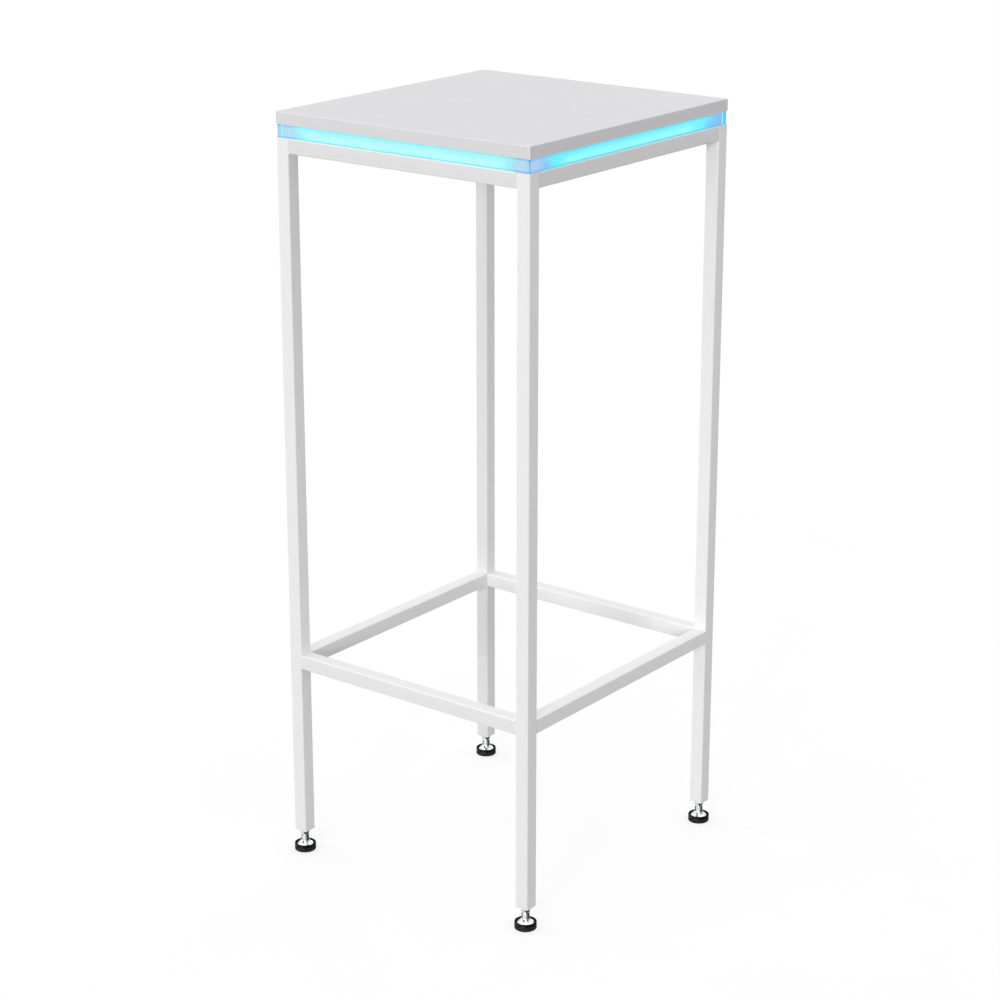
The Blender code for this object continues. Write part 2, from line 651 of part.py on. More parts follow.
def stem_mesh(looks):
    """One turned piece: the disc at its origin, the trumpet flare, the neck and the screw stem."""
    disc, neck, stem = DISC_DIAMETER / 2, NECK_DIAMETER / 2, STEM_DIAMETER / 2
    rim = disc - DISC_LEDGE
    top = FOOT_HEIGHT + STEM_LENGTH
    profile = [(0, 0), (disc - DISC_LEDGE / 2, 0), (disc, DISC_LEDGE / 2), (disc, DISC_EDGE)]
    for step in range(FLARE_STEPS + 1):
        share = step / FLARE_STEPS
        radius = neck + (rim - neck) * (1 - share) ** FLARE_POWER
        profile.append((radius, DISC_EDGE + share * FLARE_HEIGHT))
    profile += [
        (neck, FOOT_HEIGHT - STEM_CHAMFER),
        (neck - STEM_CHAMFER, FOOT_HEIGHT),
        (stem, FOOT_HEIGHT),
        (stem, top - STEM_CHAMFER),
        (stem - STEM_CHAMFER, top),
        (0, top),
    ]
    return finish("foot_stem", turned(profile, ROUND_SIDES), looks["chrome"], smooth=True)


def pad_mesh(looks):
    """A rubber cup with a lip over the edge of the disc and a groove round its sole."""
    disc = DISC_DIAMETER / 2
    recess, lip = disc + SEAT, disc - PAD_LIP_GRIP
    outer = recess + PAD_WALL
    lip_bottom = FOOT_BOTTOM + DISC_EDGE + SEAT
    top = lip_bottom + PAD_LIP
    profile = [
        (0, 0),
        (PAD_GROOVE_RADIUS - PAD_GROOVE_WIDTH / 2, 0),
        (PAD_GROOVE_RADIUS, PAD_GROOVE_DEPTH),
        (PAD_GROOVE_RADIUS + PAD_GROOVE_WIDTH / 2, 0),
        (outer - PAD_SOLE_EDGE, 0),
        (outer, PAD_SOLE_EDGE),
        (outer, top - PAD_RIM_EDGE),
        (outer - PAD_RIM_EDGE, top),
        (lip + PAD_RIM_EDGE, top),
        (lip, top - PAD_RIM_EDGE),
        (lip, lip_bottom),
        (recess, lip_bottom),
        (recess, PAD_FLOOR),
        (0, PAD_FLOOR),
    ]
    return finish("foot_pad", turned(profile, ROUND_SIDES), looks["rubber"], smooth=True)


def build_feet(table, looks):
    """At each leg: the threaded plug, the lock nut, the turned foot and its rubber pad, all on one axis."""
    meshes = {
        "leg_insert": (insert_mesh(looks), LEG_BOTTOM),
        "lock_nut": (nut_mesh(looks), NUT_BOTTOM),
        "foot_stem": (stem_mesh(looks), FOOT_BOTTOM),
        "foot_pad": (pad_mesh(looks), 0),
    }
    for corner, (side_x, side_y) in CORNERS.items():
        spot = (side_x * LEG_AXIS[0], side_y * LEG_AXIS[1], 0)
        axis = make_empty("foot_axis_" + corner, table, spot)
        for kind, (mesh, height) in meshes.items():
            place(f"{kind}_{corner}", mesh, axis, (0, 0, height))


def main():
    clear_scene()
    looks = make_materials()
    table = make_empty("standing_table")
    build_frame(table, looks)
    build_corner_tabs(table, looks)
    build_top(table, looks)
    build_light_band(table, looks)
    build_light_carriers(table, looks)
    build_light_strips(table, looks)
    build_base_panel(table, looks)
    build_power(table, looks)
    build_switch(table, looks)
    build_screws(table, looks)
    build_feet(table, looks)


main()
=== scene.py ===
import math

import bmesh
import bpy
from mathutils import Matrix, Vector


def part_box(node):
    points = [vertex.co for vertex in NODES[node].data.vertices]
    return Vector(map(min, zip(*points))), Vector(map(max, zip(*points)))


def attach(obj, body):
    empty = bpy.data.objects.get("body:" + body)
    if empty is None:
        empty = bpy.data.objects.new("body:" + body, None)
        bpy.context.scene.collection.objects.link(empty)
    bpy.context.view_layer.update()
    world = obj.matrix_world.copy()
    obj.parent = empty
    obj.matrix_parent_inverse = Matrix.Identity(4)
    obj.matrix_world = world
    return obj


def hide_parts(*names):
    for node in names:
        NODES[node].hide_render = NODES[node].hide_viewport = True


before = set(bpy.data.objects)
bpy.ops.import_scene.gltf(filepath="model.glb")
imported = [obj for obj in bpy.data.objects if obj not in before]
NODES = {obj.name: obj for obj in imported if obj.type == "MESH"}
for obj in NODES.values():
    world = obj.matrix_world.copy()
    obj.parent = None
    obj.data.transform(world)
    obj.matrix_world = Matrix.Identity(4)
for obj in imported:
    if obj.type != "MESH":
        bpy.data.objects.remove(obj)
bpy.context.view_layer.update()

CORNERS = ("front_left", "front_right", "rear_right", "rear_left")
SIDES = ("front", "right", "rear", "left")
SIDES_ALONG_X = ("front", "rear")

scene = bpy.context.scene
scene.view_settings.view_transform = "Standard"

# Lengths of the fine detail, in metres

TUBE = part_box("top_rail_front")[1].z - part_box("top_rail_front")[0].z
SEAT_GAP = 0.0003

FOOT_SIDES = 48
DISC_RADIUS = 0.0138
DISC_HEIGHT = 0.006
FLARE_RADIUS = 0.0126
FLARE_LIFT = 0.0001
FLARE_HEIGHT = 0.0075
FLARE_STEPS = 18
FLARE_POWER = 1.7
NECK_RADIUS = 0.006
NECK_TOP = 0.0217
STEM_RADIUS = 0.004
PITCH = 0.00125
THREAD_DEPTH = 0.00068
THREAD_START = 0.0001
THREAD_END = 0.0008
THREAD_STEEPNESS = 1.25
THREAD_CREST = 0.125
ROWS_PER_PITCH = 8
STEM_TIP_CUT = 0.0002

PAD_SIDES = 72
PAD_RADIUS = 0.01635
PAD_TOP = 0.011
LIP_RADIUS = 0.0132
LIP_BOTTOM = 0.0096
RECESS_RADIUS = 0.0141
RECESS_FLOOR = 0.003
RIBS = 3
RIBS_START = 0.0024
RIBS_END = 0.0093
RIB_GROOVE = 0.0003

BEAD_LENGTH = TUBE * 0.8
BEAD_SIZE = 0.0013
BEAD_STEPS = 40
BEAD_ARC = 5
BEAD_FULLNESS = 0.72
BEAD_ROOT = 0.0004
BEAD_TAPER = 8
BEAD_AT_END = 0.55
BEAD_GROWTH = 0.45
RIPPLE_SHARE = 0.07
RIPPLE_LENGTH = 0.0015

GROUND_ROWS = 12
GROUND_MARGIN = 0.0022
GROUND_DEPTH = 0.0012
GROUND_SUNK = 0.00006
GROUND_RIPPLE = 0.00001
GROUND_RIPPLE_STEP = 2.1

# Edges of turned pieces, as steps out and up from the corner that they break
DISC_LOWER_EDGE = ((-0.0006, 0.0), (-0.0001, 0.0003), (0.0, 0.0008))
DISC_UPPER_EDGE = ((0.0, -0.0003), (-0.0003, 0.0))
NECK_UPPER_EDGE = ((0.0, -0.0007), (-0.0002, -0.0002), (-0.0007, 0.0))
PAD_LOWER_EDGE = ((-0.0012, 0.0), (-0.0006, 0.0002), (-0.0002, 0.0006), (0.0, 0.0012))
PAD_UPPER_EDGE = ((0.0, -0.0009), (-0.0002, -0.0003), (-0.0007, 0.0))
LIP_EDGE = ((0.0006, 0.0), (0.0002, -0.0002), (0.0, -0.0006))

# The groove round the pad's sole, as radius and height
SOLE_GROOVE = ((0.006, 0.0), (0.0066, 0.0006), (0.007, 0.0008), (0.0074, 0.0006), (0.008, 0.0))

# One rib, as shares of the groove's depth and of the rib's height
RIB_SHAPE = ((0, 0.0), (1, 0.4), (1, 0.5), (0, 0.6))

# Across a ground weld: the step towards the leg, and how far the point lies under the surface
GROUND_SECTION = (
    (-0.0003, 0.0), (0.0003, 0.0), (0.0012, 0.00002), (0.0021, 0.00004),
    (0.0021, GROUND_DEPTH), (-0.0003, GROUND_DEPTH),
)

# Colours

WHITE = (1.0, 1.0, 1.0, 1.0)


def linear(channel):
    """The linear share of an sRGB channel from 0 to 255."""
    share = channel / 255
    return share / 12.92 if share <= 0.04045 else ((share + 0.055) / 1.055) ** 2.4


def rgb(red, green, blue):
    """A shader's colour from sRGB channels."""
    return (linear(red), linear(green), linear(blue), 1.0)


def grey(level):
    """A shader's neutral grey from one sRGB level."""
    return rgb(level, level, level)


# Node materials

NOISE_RANGE = (0.3, 0.7)
RANGE_SOCKETS = ("From Min", "From Max", "To Min", "To Max")
MIX_FIRST, MIX_SECOND, MIX_RESULT = 6, 7, 2


class Look:
    """A node material under construction."""

    def __init__(self, name):
        self.material = bpy.data.materials.new(name)
        self.material.use_nodes = True
        self.tree = self.material.node_tree
        self.shader = self.tree.nodes["Principled BSDF"]
        self.coords = self.node("ShaderNodeTexCoord")

    def node(self, kind, **settings):
        """A new node with those settings."""
        made = self.tree.nodes.new(kind)
        for key, value in settings.items():
            setattr(made, key, value)
        return made

    def link(self, source, target):
        """Links an output to a socket."""
        self.tree.links.new(source, target)

    def put(self, socket, value):
        """Links the value to the socket if it is an output, and sets it there otherwise."""
        if isinstance(value, bpy.types.NodeSocket):
            self.link(value, socket)
        else:
            socket.default_value = value

    def set(self, name, value):
        """Puts a value on one of the shader's sockets."""
        self.put(self.shader.inputs[name], value)

    def split(self, kind):
        """The three parts of the place (Object) or of the direction faced (Normal)."""
        made = self.node("ShaderNodeSeparateXYZ")
        self.link(self.coords.outputs[kind], made.inputs[0])
        return made.outputs

    def math(self, operation, first, *others):
        """A math operation on one value, or on several in turn."""
        for other in others or (0.0,):
            made = self.node("ShaderNodeMath", operation=operation)
            self.put(made.inputs[0], first)
            self.put(made.inputs[1], other)
            first = made.outputs[0]
        return first

    def noise(self, scale, detail=2.0, stretch=None):
        """Smooth noise over the surface."""
        made = self.node("ShaderNodeTexNoise")
        made.inputs["Scale"].default_value = scale
        made.inputs["Detail"].default_value = detail
        source = self.coords.outputs["Object"]
        if stretch:
            mapping = self.node("ShaderNodeMapping")
            mapping.inputs["Scale"].default_value = stretch
            self.link(source, mapping.inputs["Vector"])
            source = mapping.outputs[0]
        self.link(source, made.inputs["Vector"])
        return made.outputs["Fac"]

    def span(self, value, low, high, to_low=0.0, to_high=1.0, smooth=False):
        """Takes low to to_low and high to to_high, and stays level beyond them."""
        made = self.node("ShaderNodeMapRange")
        made.interpolation_type = "SMOOTHSTEP" if smooth else "LINEAR"
        self.put(made.inputs["Value"], value)
        for name, number in zip(RANGE_SOCKETS, (low, high, to_low, to_high)):
            made.inputs[name].default_value = number
        return made.outputs[0]

    def fade(self, value, low, high, smooth=True):
        """1 up to low, 0 from high on."""
        return self.span(value, low, high, 1.0, 0.0, smooth)

    def varied(self, scale, low, high, detail=2.0):
        """A number that wanders from low to high over the surface."""
        return self.span(self.noise(scale, detail), *NOISE_RANGE, low, high)

    def mix(self, share, first, second):
        """A colour between two others."""
        made = self.node("ShaderNodeMix", data_type="RGBA")
        self.put(made.inputs["Factor"], share)
        self.put(made.inputs[MIX_FIRST], first)
        self.put(made.inputs[MIX_SECOND], second)
        return made.outputs[MIX_RESULT]

    def clouded(self, scale, first, second, detail=2.0):
        """A colour that wanders between two others over the surface."""
        return self.mix(self.varied(scale, 0.0, 1.0, detail), first, second)

    def bump(self, scale, depth):
        """A fine grain of that depth."""
        made = self.node("ShaderNodeBump")
        made.inputs["Strength"].default_value = 1.0
        made.inputs["Distance"].default_value = depth
        self.link(self.noise(scale), made.inputs["Height"])
        self.link(made.outputs[0], self.shader.inputs["Normal"])


# Plain surfaces

CLOUD_DETAIL = 3.0
GLOSS_SPREAD = 0.05


def mottled(name, light, dark, roughness, scale, grain, grain_depth, metallic=0.0):
    """A surface whose colour, gloss and height all vary a little."""
    look = Look(name)
    look.set("Base Color", look.clouded(scale, first=dark, second=light, detail=CLOUD_DETAIL))
    look.set("Roughness", look.varied(scale * 3, roughness - GLOSS_SPREAD, roughness + GLOSS_SPREAD))
    look.set("Metallic", metallic)
    look.bump(grain, grain_depth)
    return look


carrier = mottled(
    "batten_paint", light=rgb(226, 228, 230), dark=rgb(214, 217, 220),
    roughness=0.7, scale=60, grain=500, grain_depth=0.00005,
)
strip = mottled(
    "light_strip", light=rgb(236, 240, 240), dark=rgb(222, 228, 230),
    roughness=0.5, scale=120, grain=800, grain_depth=0.00002,
)
panel = mottled(
    "base_panel_white", light=rgb(231, 231, 232), dark=rgb(224, 224, 226),
    roughness=0.55, scale=25, grain=700, grain_depth=0.00003,
)
zinc = mottled(
    "zinc_plate", light=rgb(198, 200, 204), dark=rgb(170, 172, 178),
    roughness=0.32, scale=300, grain=1500, grain_depth=0.00002, metallic=1.0,
)
plastic = mottled(
    "black_plastic", light=rgb(32, 32, 34), dark=rgb(24, 24, 26),
    roughness=0.42, scale=150, grain=1100, grain_depth=0.00002,
)
wrap = mottled(
    "blue_wrap", light=rgb(58, 92, 142), dark=rgb(46, 76, 122),
    roughness=0.42, scale=60, grain=500, grain_depth=0.00005,
)

# Powder coat

COAT_EDGE_HIGHLIGHT_LEVEL = 254
COAT_FACE = (0.8, 0.95)
COAT_EDGE_HIGHLIGHT = (0.8, 0.985)

# Painted shade and light: grey levels of the faces to left and right, to front and rear, and above and
# below, lighter or darker for some legs and rails
COAT_PAINTED_SHADE_LEVELS = {
    "white": (243, 243, 243),
    "front_left_leg": (250, 243, 243),
    "rear_right_leg": (243, 248, 243),
    "rear_left_leg": (243, 234, 243),
    "top_rails": (233, 230, 240),
    "foot_rails": (243, 248, 252),
    "front_foot_rail": (238, 238, 252),
}


def powder_coat(name, side_level, front_level, top_level):
    """White powder coat with a fine grain, with painted shade and light by the way each face turns, and a
    painted highlight over its rounded edges.
    """
    look = Look(name)
    cloud = look.varied(scale=30, low=0.0, high=1.0, detail=CLOUD_DETAIL)
    x, y, z = (look.math("ABSOLUTE", part) for part in look.split("Normal"))

    def tone(level):
        return look.mix(cloud, grey(level - 1), grey(level))

    # Painted shade and light: faces turned to front or rear, and faces turned up, take their own grey levels
    plain = look.mix(look.span(y, *COAT_FACE), tone(side_level), tone(front_level))
    plain = look.mix(look.span(z, *COAT_FACE), plain, tone(top_level))
    # Painted highlight: rounded edges take a paler grey
    edge = look.fade(look.math("MAXIMUM", x, y, z), *COAT_EDGE_HIGHLIGHT)
    look.set("Base Color", look.mix(edge, plain, grey(COAT_EDGE_HIGHLIGHT_LEVEL)))
    look.set("Roughness", look.varied(scale=90, low=0.37, high=0.47))
    look.bump(scale=1300, depth=0.00002)
    return look


coats = {name: powder_coat("powder_coat_" + name, *levels) for name, levels in COAT_PAINTED_SHADE_LEVELS.items()}

# Chrome

# A painted dark reflection, or the side of the shoulder's painted shade, is the direction of its middle and
# its half width, in degrees
REFLECTION_CORE = 0.4
FLARE_REFLECTIONS = ((-73, 13), (-27, 12), (60, 16), (160, 14))
SHOULDER_SHADE_SIDE = ((20, 90),)
SHOULDER_SHADE_DEPTH = 0.6
SHOULDER_START, SHOULDER_STOP = 0.0012, 0.0004
UPRIGHT_TILT = (0.3, 0.7)
FLARE_TILT_FROM = (0.35, 0.5)
FLARE_TILT_TO = (0.66, 0.78)
DARK_REFLECTION = rgb(56, 59, 64)


def polished_chrome(name, light, dull, upright_reflections, shoulder=None):
    """Polished chrome: painted dark reflections run down the upright faces and break up over the flare, with
    painted shade round one side of the neck's shoulder.
    """
    look = Look(name)
    x, y, z = look.split("Normal")
    around = look.math("ARCTAN2", y, x)
    tilt = look.math("ABSOLUTE", z)

    def dark_bands(places):
        parts = []
        for middle, width in places:
            off = look.math("ABSOLUTE", look.math("SUBTRACT", around, math.radians(middle)))
            parts.append(look.fade(off, math.radians(width * REFLECTION_CORE), math.radians(width)))
        return look.math("MAXIMUM", *parts) if len(parts) > 1 else parts[0]

    # Painted reflections: dark bands where the faces turn in given directions
    upright = look.math("MULTIPLY", dark_bands(upright_reflections), look.fade(tilt, *UPRIGHT_TILT, smooth=False))
    flare = look.math(
        "MULTIPLY", look.span(tilt, *FLARE_TILT_FROM, smooth=True), look.fade(tilt, *FLARE_TILT_TO),
    )
    dark = look.math("MAXIMUM", upright, look.math("MULTIPLY", dark_bands(FLARE_REFLECTIONS), flare))
    # Painted shade: a dark ring at the neck's shoulder under the nut, on one side
    if shoulder:
        height = look.split("Object")[2]
        ring = look.span(height, shoulder - SHOULDER_START, shoulder - SHOULDER_STOP, 0.0, SHOULDER_SHADE_DEPTH)
        dark = look.math("MAXIMUM", dark, look.math("MULTIPLY", ring, dark_bands(SHOULDER_SHADE_SIDE)))
    plain = look.clouded(scale=400, first=light, second=dull)
    look.set("Base Color", look.mix(dark, plain, DARK_REFLECTION))
    look.set("Metallic", 1.0)
    look.set("Roughness", look.varied(scale=300, low=0.06, high=0.12))
    look.bump(scale=600, depth=0.000004)
    return look


chrome = polished_chrome(
    "polished_chrome", light=rgb(236, 237, 239), dull=rgb(222, 224, 227),
    upright_reflections=((6, 64), (-122, 32), (118, 34)), shoulder=NECK_TOP,
)
nut_chrome = polished_chrome(
    "nut_chrome", light=rgb(214, 216, 219), dull=rgb(200, 203, 207),
    upright_reflections=((-8, 52), (-150, 42), (112, 34)),
)

# Rubber

RIB_SLOPE = (0.04, 0.13)
RIB_TOP = (0.4, 0.6)
HIGHLIGHT_STRETCH = (70, 70, 900)
HIGHLIGHT_RANGE = (0.42, 0.58)
RIB_HIGHLIGHT = rgb(78, 78, 80)


def black_rubber():
    """Black rubber with painted highlights in places on the upper slopes of its ribs."""
    look = Look("black_rubber")
    up = look.split("Normal")[2]
    # Painted highlight: paler patches on the ribs' upper slopes
    slope = look.math(
        "MULTIPLY", look.span(up, *RIB_SLOPE, smooth=True), look.fade(up, *RIB_TOP, smooth=False),
    )
    highlight_patches = look.span(look.noise(scale=1.0, detail=1.0, stretch=HIGHLIGHT_STRETCH), *HIGHLIGHT_RANGE, smooth=True)
    black = look.clouded(scale=150, first=rgb(5, 5, 6), second=rgb(11, 11, 12), detail=CLOUD_DETAIL)
    look.set("Base Color", look.mix(look.math("MULTIPLY", slope, highlight_patches), black, RIB_HIGHLIGHT))
    look.set("Roughness", look.varied(scale=450, low=0.55, high=0.65))
    look.set("Specular IOR Level", 0.03)
    look.bump(scale=900, depth=0.00004)
    return look


rubber = black_rubber()

# Board

BROKEN_EDGE = (0.0009, 0.0013)
BOARD_EDGE_HIGHLIGHT = rgb(231, 231, 232)
BOARD_CORNER_HIGHLIGHT = rgb(246, 246, 247)


def laminate():
    """The board's laminate, with a painted highlight along its broken edges that is brightest down its
    corners.
    """
    look = Look("board_laminate")
    low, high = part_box("tabletop")
    x, y, z = look.split("Object")
    from_side = look.math("SUBTRACT", high.x, look.math("ABSOLUTE", x))
    from_front = look.math("SUBTRACT", high.y, look.math("ABSOLUTE", y))
    from_face = look.math("MINIMUM", look.math("SUBTRACT", high.z, z), look.math("SUBTRACT", z, low.z))
    nearer = look.math("MINIMUM", from_side, from_front)
    farther = look.math("MAXIMUM", from_side, from_front)
    from_edge = look.math("MAXIMUM", nearer, look.math("MINIMUM", farther, from_face))
    plain = look.clouded(scale=260, first=rgb(220, 220, 222), second=rgb(222, 222, 224), detail=4.0)
    # Painted highlight: paler along the broken edges, palest down the upright corners
    pale = look.mix(look.fade(farther, *BROKEN_EDGE), BOARD_EDGE_HIGHLIGHT, BOARD_CORNER_HIGHLIGHT)
    look.set("Base Color", look.mix(look.fade(from_edge, *BROKEN_EDGE), plain, pale))
    look.set("Roughness", look.varied(scale=50, low=0.38, high=0.46))
    look.bump(scale=900, depth=0.00001)
    return look


board = laminate()

# Light band

# Ends and turns go from the side's negative end to its positive end
# Steps are the distances from an end over which turns, rise and core take over in turn
FRONT_GLOW = {
    "ends": (rgb(178, 220, 244), rgb(178, 217, 241)),
    "turns": (rgb(140, 228, 250), rgb(164, 222, 247)),
    "rise": rgb(154, 250, 253),
    "core": rgb(186, 254, 254),
    "edge": rgb(84, 244, 254),
    "rim": 0.74,
    "steps": ((0.015, 0.036), (0.024, 0.048), (0.036, 0.064)),
}
RIGHT_GLOW = {
    "ends": (rgb(158, 197, 239), rgb(86, 179, 239)),
    "turns": (rgb(112, 190, 244), rgb(46, 200, 250)),
    "rise": rgb(48, 240, 255),
    "core": rgb(128, 254, 254),
    "edge": rgb(36, 208, 250),
    "rim": 0.70,
    "steps": ((0.020, 0.038), (0.040, 0.060), (0.058, 0.100)),
}
GLOW = {"front": FRONT_GLOW, "right": RIGHT_GLOW, "rear": FRONT_GLOW, "left": RIGHT_GLOW}
END_EDGE = rgb(84, 168, 240)
UPPER_GLOW = (0.32, 0.78)
UPPER_GLOW_SHARE = 0.85
LOWER_RIM = 0.14
RIM_SHARE = 0.9

INNER_LINE = (0.0042, 0.0048)
OUTER_EDGE = (0.0005, 0.0009)
OUTER_DIMMING = 0.34
CUT_STRENGTH, LINE_STRENGTH = 0.62, 0.95
LINE_COLOUR = rgb(8, 60, 80)
LINE_GLOW = rgb(80, 244, 255)
MITRE_SLANT = 0.3


def glow(look, side):
    """Light in the band: white-cyan in the middle of a side, blue at its ends, deeper along its edges."""
    tone = GLOW[side]
    low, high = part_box("light_band_" + side)
    x, y, z = look.split("Object")
    along, half = (x, high.x) if side in SIDES_ALONG_X else (y, high.y)
    from_end = look.math("SUBTRACT", half, look.math("ABSOLUTE", along))
    share = look.span(along, -half, half)
    colour = look.mix(share, *tone["ends"])
    inward = (look.mix(share, *tone["turns"]), tone["rise"], tone["core"])
    for shade, (start, stop) in zip(inward, tone["steps"]):
        colour = look.mix(look.span(from_end, start, stop, smooth=True), colour, shade)
    lit = look.span(from_end, tone["steps"][0][0], tone["steps"][1][1], smooth=True)
    height = look.span(z, low.z, high.z)
    above = look.span(height, *UPPER_GLOW, smooth=True)
    colour = look.mix(look.math("MULTIPLY", lit, UPPER_GLOW_SHARE, above), colour, tone["rise"])
    upper = look.span(height, tone["rim"], 1.0, smooth=True)
    lower = look.fade(height, 0.0, LOWER_RIM)
    rim = look.math("MULTIPLY", look.math("MAXIMUM", upper, lower), RIM_SHARE)
    return look.mix(rim, colour, look.mix(lit, END_EDGE, tone["edge"]))


def opal_sheet(side):
    """The sheet behind a strip, which glows."""
    look = Look("opal_glow_" + side)
    look.set("Base Color", look.clouded(scale=30, first=rgb(30, 36, 40), second=rgb(40, 46, 50)))
    look.set("Roughness", 0.6)
    look.set("Emission Color", glow(look, side))
    look.set("Emission Strength", look.varied(scale=90, low=0.65, high=0.69))
    return look


def lit_acrylic(side):
    """Clear acrylic that carries the strip's light, painted in as a faint glow."""
    look = Look("lit_acrylic_" + side)
    look.set("Base Color", look.clouded(scale=40, first=rgb(244, 252, 255), second=rgb(250, 254, 255)))
    look.set("Roughness", look.varied(scale=70, low=0.01, high=0.05))
    look.set("IOR", 1.49)
    look.set("Transmission Weight", 1.0)
    # Painted light: the band's glow pattern as a faint emission in the acrylic
    look.set("Emission Color", glow(look, side))
    look.set("Emission Strength", 0.12)
    look.bump(scale=60, depth=0.00001)
    return look


def sawn_mitre(side):
    """The matt cut at the end of a strip, glowing with painted light, with a painted bright line near its
    inner edge at two of the corners.
    """
    look = Look("sawn_mitre_" + side)
    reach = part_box("light_band_right")[1].x
    x, y, _ = look.split("Object")
    from_side = look.math("SUBTRACT", reach, look.math("ABSOLUTE", x))
    inner = look.span(from_side, *INNER_LINE, smooth=True)
    # Painted highlight: a bright line near the inner edge at two corners; painted shade dims the glow at the
    # outer edge
    line = look.math("MULTIPLY", inner, look.math("GREATER_THAN", look.math("MULTIPLY", x, y), 0.0))
    dimming = look.span(from_side, *OUTER_EDGE, OUTER_DIMMING, 0.0, smooth=True)
    strength = look.span(line, 0.0, 1.0, CUT_STRENGTH, LINE_STRENGTH)
    cut = look.clouded(scale=500, first=rgb(52, 100, 140), second=rgb(66, 118, 158))
    look.set("Base Color", look.mix(line, cut, LINE_COLOUR))
    look.set("Roughness", look.varied(scale=900, low=0.5, high=0.7))
    look.set("Emission Color", look.mix(line, glow(look, side), LINE_GLOW))
    look.set("Emission Strength", look.math("SUBTRACT", strength, dimming))
    look.bump(scale=1200, depth=0.00003)
    return look


# Dressing the CAD pieces

SMOOTH_ANGLE = math.radians(50)
WELD_DISTANCE = 0.00001

CORNER_LOOKS = {
    "corner_tab": coats["white"], "leg_insert": coats["white"], "top_screw": zinc,
    "lock_nut": nut_chrome, "foot_stem": chrome, "foot_pad": rubber,
}
SIDE_LOOKS = {"top_rail": coats["top_rails"], "led_carrier": carrier, "led_strip": strip}
SINGLE_LOOKS = {
    "tabletop": board, "base_panel": panel, "battery_pack": wrap, "led_controller": plastic,
    "power_switch": plastic, "switch_rocker": plastic, "charge_socket": plastic,
}


def dress(node, *looks):
    """Gives a CAD piece those materials in place of its own."""
    mesh = NODES[node].data
    mesh.materials.clear()
    for look in looks:
        mesh.materials.append(look.material)


def dress_strip(side):
    """Clear acrylic on a strip's faces, the saw cut on its two slanting ends."""
    node = "light_band_" + side
    dress(node, lit_acrylic(side), sawn_mitre(side))
    for face in NODES[node].data.polygons:
        face.material_index = int(min(abs(face.normal.x), abs(face.normal.y)) > MITRE_SLANT)


def smooth_cad(node):
    """Shades a CAD piece smoothly between its sharp edges; its own vertices stay as they are."""
    piece = NODES[node]
    normals = piece.data.attributes.get("custom_normal")
    if normals:
        piece.data.attributes.remove(normals)
    piece.data.shade_smooth()
    weld = piece.modifiers.new("weld", "WELD")
    weld.merge_threshold = WELD_DISTANCE
    split = piece.modifiers.new("split", "EDGE_SPLIT")
    split.split_angle = SMOOTH_ANGLE
    piece.modifiers.new("weighted", "WEIGHTED_NORMAL")


for corner in CORNERS:
    dress("leg_" + corner, coats.get(corner + "_leg", coats["white"]))
    for kind, look in CORNER_LOOKS.items():
        dress(f"{kind}_{corner}", look)
for side in SIDES:
    dress("foot_rail_" + side, coats.get(side + "_foot_rail", coats["foot_rails"]))
    for kind, look in SIDE_LOOKS.items():
        dress(f"{kind}_{side}", look)
    dress("diffuser_" + side, opal_sheet(side))
    dress_strip(side)
for node, look in SINGLE_LOOKS.items():
    dress(node, look)
for node in NODES:
    smooth_cad(node)

# Pieces of the scene

PIECE_SHARP_ANGLE = math.radians(40)
WELD_SHARP_ANGLE = math.radians(50)


def finished_mesh(name, verts, faces, look, sharp_angle):
    """A mesh whose faces all point outwards, smooth between its sharp edges."""
    mesh = bpy.data.meshes.new(name)
    mesh.from_pydata(verts, [], faces)
    work = bmesh.new()
    work.from_mesh(mesh)
    bmesh.ops.recalc_face_normals(work, faces=work.faces)
    work.to_mesh(mesh)
    work.free()
    mesh.shade_smooth()
    mesh.set_sharp_from_angle(angle=sharp_angle)
    mesh.materials.append(look.material)
    return mesh


def add_object(name, data):
    """An object in the scene."""
    made = bpy.data.objects.new(name, data)
    scene.collection.objects.link(made)
    return made


def add_piece(name, mesh, body):
    """A piece that moves with a body."""
    piece = add_object(name, mesh)
    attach(piece, body)


# Feet


def circle(radius, height, sides):
    """A ring of points round the axis, or one point on it."""
    if radius == 0:
        return [(0.0, 0.0, height)]
    return [
        (radius * math.cos(2 * math.pi * k / sides), radius * math.sin(2 * math.pi * k / sides), height)
        for k in range(sides)
    ]


def broken_edge(radius, height, steps):
    """Points of a profile that break the edge at that radius and height."""
    return [(radius + out, height + up) for out, up in steps]


def turned_mesh(name, rings, look):
    """A turned mesh over rings of points; a ring of one point closes the end."""
    verts, faces, starts = [], [], []
    for ring in rings:
        starts.append(len(verts))
        verts.extend(ring)
    for index in range(len(rings) - 1):
        first, second = starts[index], starts[index + 1]
        first_count, second_count = len(rings[index]), len(rings[index + 1])
        count = max(first_count, second_count)
        for step in range(count):
            after = (step + 1) % count
            face = [first + step, first + after] if first_count > 1 else [first]
            face += [second + after, second + step] if second_count > 1 else [second]
            faces.append(face)
    return finished_mesh(name, verts, faces, look, PIECE_SHARP_ANGLE)


def thread_ring(height):
    """Points round the screw at one height, on the crest or in the groove of its thread."""
    ring = []
    for k in range(FOOT_SIDES):
        turn = k / FOOT_SIDES
        wave = abs(2 * ((height / PITCH - turn) % 1.0) - 1)
        depth = min(1.0, max(0.0, wave * THREAD_STEEPNESS - THREAD_CREST))
        radius = STEM_RADIUS - THREAD_DEPTH * depth
        ring.append((radius * math.cos(2 * math.pi * turn), radius * math.sin(2 * math.pi * turn), height))
    return ring


